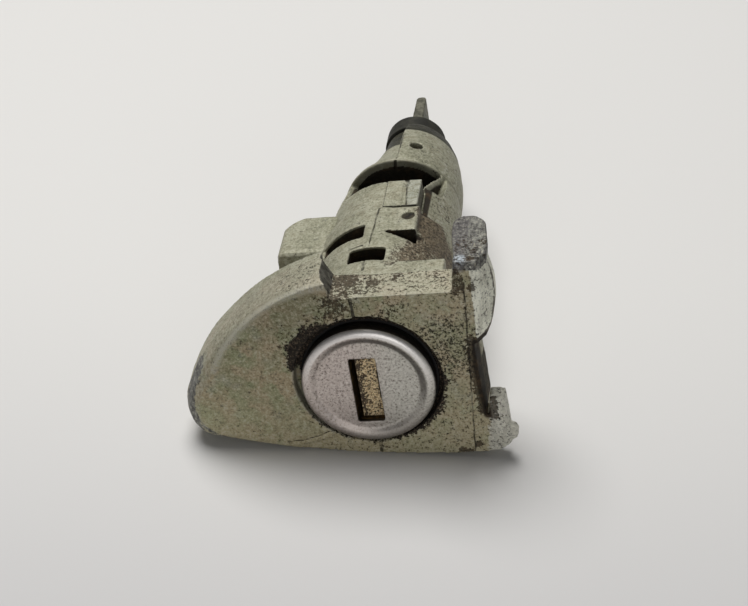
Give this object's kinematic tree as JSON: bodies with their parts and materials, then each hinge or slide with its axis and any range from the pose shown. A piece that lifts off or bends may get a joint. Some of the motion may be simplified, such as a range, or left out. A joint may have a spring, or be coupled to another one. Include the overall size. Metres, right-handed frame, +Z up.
{
  "type": "lock cylinder",
  "caption": "Winged die-cast lock cylinder with a spring-returned key plug behind a shuttered cap, sliding wafers, and a flat turning tail at the back of its barrel.",
  "frame": {"origin": "on the cylinder's axis, in the plane of the head's front face, where the key goes in", "axes": "+Y along the cylinder's axis from the key face to the tail, +X to the right seen from the front, +Z up"},
  "size_m": [0.0496, 0.0812, 0.0343],
  "materials": {
    "zinc_casting": "die-cast zinc with a worn olive-yellow chromate film",
    "stainless_cap": "satin stainless steel, lightly worn",
    "brass_plug": "dull machined brass",
    "plated_steel": "dull zinc plate",
    "spring_steel": "oiled spring steel",
    "black_seal": "matt black rubber",
    "dark_collar": "dark olive-grey phosphate",
    "tail_metal": "greenish-grey passivated steel"
  },
  "bodies": {
    "housing": {"housing": "zinc_casting", "retaining_block": "zinc_casting", "stop_pin": "plated_steel", "tail_pin": "plated_steel", "face_seal": "black_seal", "return_spring": "spring_steel"},
    "plug": {"plug": "brass_plug", "face_cap": "stainless_cap", "shutter_pin": "plated_steel", "shutter_spring": "spring_steel", "wafer_spring_1": "spring_steel", "wafer_spring_2": "spring_steel", "wafer_spring_3": "spring_steel", "wafer_spring_4": "spring_steel", "wafer_spring_5": "spring_steel", "wafer_spring_6": "spring_steel", "wafer_spring_7": "spring_steel", "wafer_spring_8": "spring_steel"},
    "shutter": {"shutter": "plated_steel"},
    "tail": {"tail_shaft": "tail_metal", "tail_boot": "dark_collar", "clutch_spring": "spring_steel"},
    "clutch": {"clutch": "plated_steel"},
    "wafer_1": {"wafer_1": "brass_plug"},
    "wafer_2": {"wafer_2": "brass_plug"},
    "wafer_3": {"wafer_3": "brass_plug"},
    "wafer_4": {"wafer_4": "brass_plug"},
    "wafer_5": {"wafer_5": "brass_plug"},
    "wafer_6": {"wafer_6": "brass_plug"},
    "wafer_7": {"wafer_7": "brass_plug"},
    "wafer_8": {"wafer_8": "brass_plug"}
  },
  "joints": [
    {"name": "plug_turn", "type": "hinge", "parent": "housing", "child": "plug", "pos_m": [0, 0, 0], "axis": [0, 1, 0], "range_deg": [-75, 75], "stiffness_Nm_per_rad": 0.02},
    {"name": "tail_turn", "type": "hinge", "parent": "housing", "child": "tail", "pos_m": [0, 0, 0], "axis": [0, 1, 0], "range_deg": [-75, 75], "stiffness_Nm_per_rad": 0.02},
    {"name": "clutch_slip", "type": "slide", "parent": "tail", "child": "clutch", "axis": [0, 1, 0], "range_m": [0, 0.0019], "stiffness_N_per_m": 2000, "springref_m": -0.0005, "deforming": ["clutch_spring"]},
    {"name": "shutter_swing", "type": "hinge", "parent": "plug", "child": "shutter", "pos_m": [0.00204, 0.00165, 0.00022], "axis": [-0.1097, 0, 0.994], "range_deg": [-80, 0], "stiffness_Nm_per_rad": 0.0005, "springref_deg": 11.46},
    {"name": "wafer_1_lift", "type": "slide", "parent": "plug", "child": "wafer_1", "axis": [-0.1097, 0, 0.994], "range_m": [-0.0006, 0.0006], "stiffness_N_per_m": 60, "deforming": ["wafer_spring_1"]},
    {"name": "wafer_2_lift", "type": "slide", "parent": "plug", "child": "wafer_2", "axis": [-0.1097, 0, 0.994], "range_m": [-0.0006, 0.0006], "stiffness_N_per_m": 60, "deforming": ["wafer_spring_2"]},
    {"name": "wafer_3_lift", "type": "slide", "parent": "plug", "child": "wafer_3", "axis": [-0.1097, 0, 0.994], "range_m": [-0.0006, 0.0006], "stiffness_N_per_m": 60, "deforming": ["wafer_spring_3"]},
    {"name": "wafer_4_lift", "type": "slide", "parent": "plug", "child": "wafer_4", "axis": [-0.1097, 0, 0.994], "range_m": [-0.0006, 0.0006], "stiffness_N_per_m": 60, "deforming": ["wafer_spring_4"]},
    {"name": "wafer_5_lift", "type": "slide", "parent": "plug", "child": "wafer_5", "axis": [-0.1097, 0, 0.994], "range_m": [-0.0006, 0.0006], "stiffness_N_per_m": 60, "deforming": ["wafer_spring_5"]},
    {"name": "wafer_6_lift", "type": "slide", "parent": "plug", "child": "wafer_6", "axis": [-0.1097, 0, 0.994], "range_m": [-0.0006, 0.0006], "stiffness_N_per_m": 60, "deforming": ["wafer_spring_6"]},
    {"name": "wafer_7_lift", "type": "slide", "parent": "plug", "child": "wafer_7", "axis": [-0.1097, 0, 0.994], "range_m": [-0.0006, 0.0006], "stiffness_N_per_m": 60, "deforming": ["wafer_spring_7"]},
    {"name": "wafer_8_lift", "type": "slide", "parent": "plug", "child": "wafer_8", "axis": [-0.1097, 0, 0.994], "range_m": [-0.0006, 0.0006], "stiffness_N_per_m": 60, "deforming": ["wafer_spring_8"]}
  ],
  "couplings": [
    {"joint": "tail_turn", "follows": "plug_turn", "ratio": 1}
  ]
}
